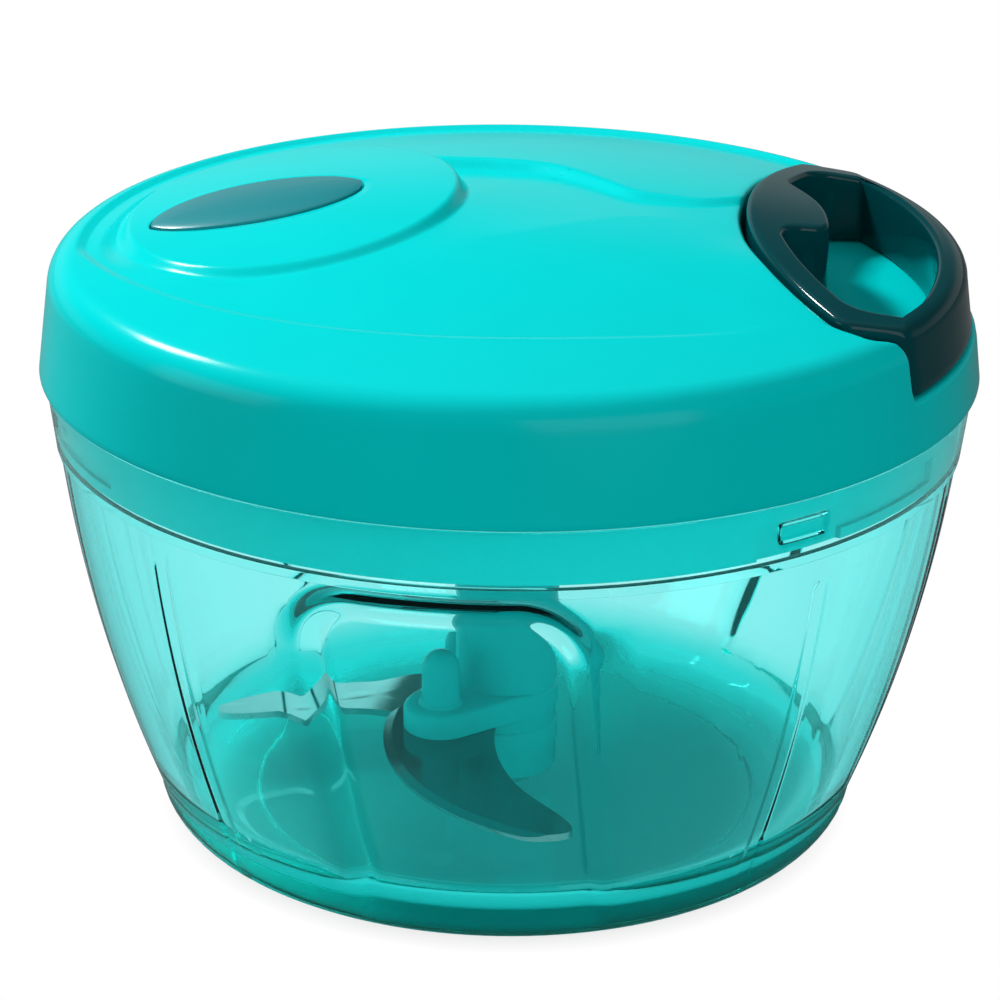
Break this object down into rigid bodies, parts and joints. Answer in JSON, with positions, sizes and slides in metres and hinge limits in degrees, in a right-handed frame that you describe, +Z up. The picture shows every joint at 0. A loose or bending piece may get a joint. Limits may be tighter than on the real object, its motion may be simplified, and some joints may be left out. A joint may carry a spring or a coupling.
{
  "type": "manual pull cord food chopper",
  "caption": "Round hand chopper: clear tinted bowl with curved steel blades on a spindle, twist-lock domed lid, and a handle that pulls a cord off a spring reel to spin the blades.",
  "frame": {"origin": "centre of the bowl's foot, on the surface that it stands on", "axes": "+Z up along the spindle, +X towards the pull handle"},
  "size_m": [0.1304, 0.1304, 0.0897],
  "materials": {
    "clear_bowl": "clear, tinted, glossy",
    "turquoise_shell": "glossy moulded",
    "dark_handle": "glossy moulded",
    "leaf_badge": "satin moulded",
    "seal": "soft matte",
    "inner_plastic": "plain moulded",
    "blade_steel": "polished, ground edge",
    "spring_steel": "rolled strip",
    "screw_steel": "plated",
    "cord": "braided"
  },
  "bodies": {
    "bowl": {"bowl": "clear_bowl", "pivot_pin": "screw_steel"},
    "seal": {"seal_ring": "seal"},
    "lid": {"lid_cover": "turquoise_shell", "lid_base": "turquoise_shell", "leaf_inlay": "leaf_badge", "cord_eyelet": "screw_steel", "lid_screws": "screw_steel", "axle_washer": "screw_steel", "axle_screw": "screw_steel", "recoil_spring": "spring_steel", "cord_lead": "cord"},
    "handle": {"pull_handle": "dark_handle", "cord_knot": "cord"},
    "reel": {"cord_reel": "inner_plastic", "reel_cap": "inner_plastic", "drive_coupling": "dark_handle", "coupling_screws": "screw_steel", "cord_winding": "cord"},
    "blades": {"blade_spindle": "turquoise_shell", "upper_blade": "blade_steel", "lower_blade": "blade_steel", "blade_screws": "screw_steel"}
  },
  "joints": [
    {"name": "lid_lift", "type": "slide", "parent": "bowl", "child": "seal", "axis": [0, 0, 1], "range_m": [0, 0.11]},
    {"name": "lid_twist", "type": "hinge", "parent": "seal", "child": "lid", "pos_m": [0, 0, 0.067], "axis": [0, 0, 1], "range_deg": [-20, 0]},
    {"name": "handle_pull", "type": "slide", "parent": "lid", "child": "handle", "axis": [1, 0, 0], "range_m": [0, 0.33], "stiffness_N_per_m": 12, "springref_m": -0.25, "deforming": ["cord_lead"]},
    {"name": "reel_spin", "type": "hinge", "parent": "lid", "child": "reel", "pos_m": [0, 0, 0.0715], "axis": [0, 0, 1], "range_deg": [-795, 0], "deforming": ["cord_winding", "recoil_spring"]},
    {"name": "blade_spin", "type": "hinge", "parent": "bowl", "child": "blades", "pos_m": [0, 0, 0.0137], "axis": [0, 0, 1], "range_deg": [-795, 0]}
  ],
  "couplings": [
    {"joint": "reel_spin", "follows": "handle_pull", "rad_per_m": -41.93},
    {"joint": "blade_spin", "follows": "handle_pull", "rad_per_m": -41.93}
  ]
}
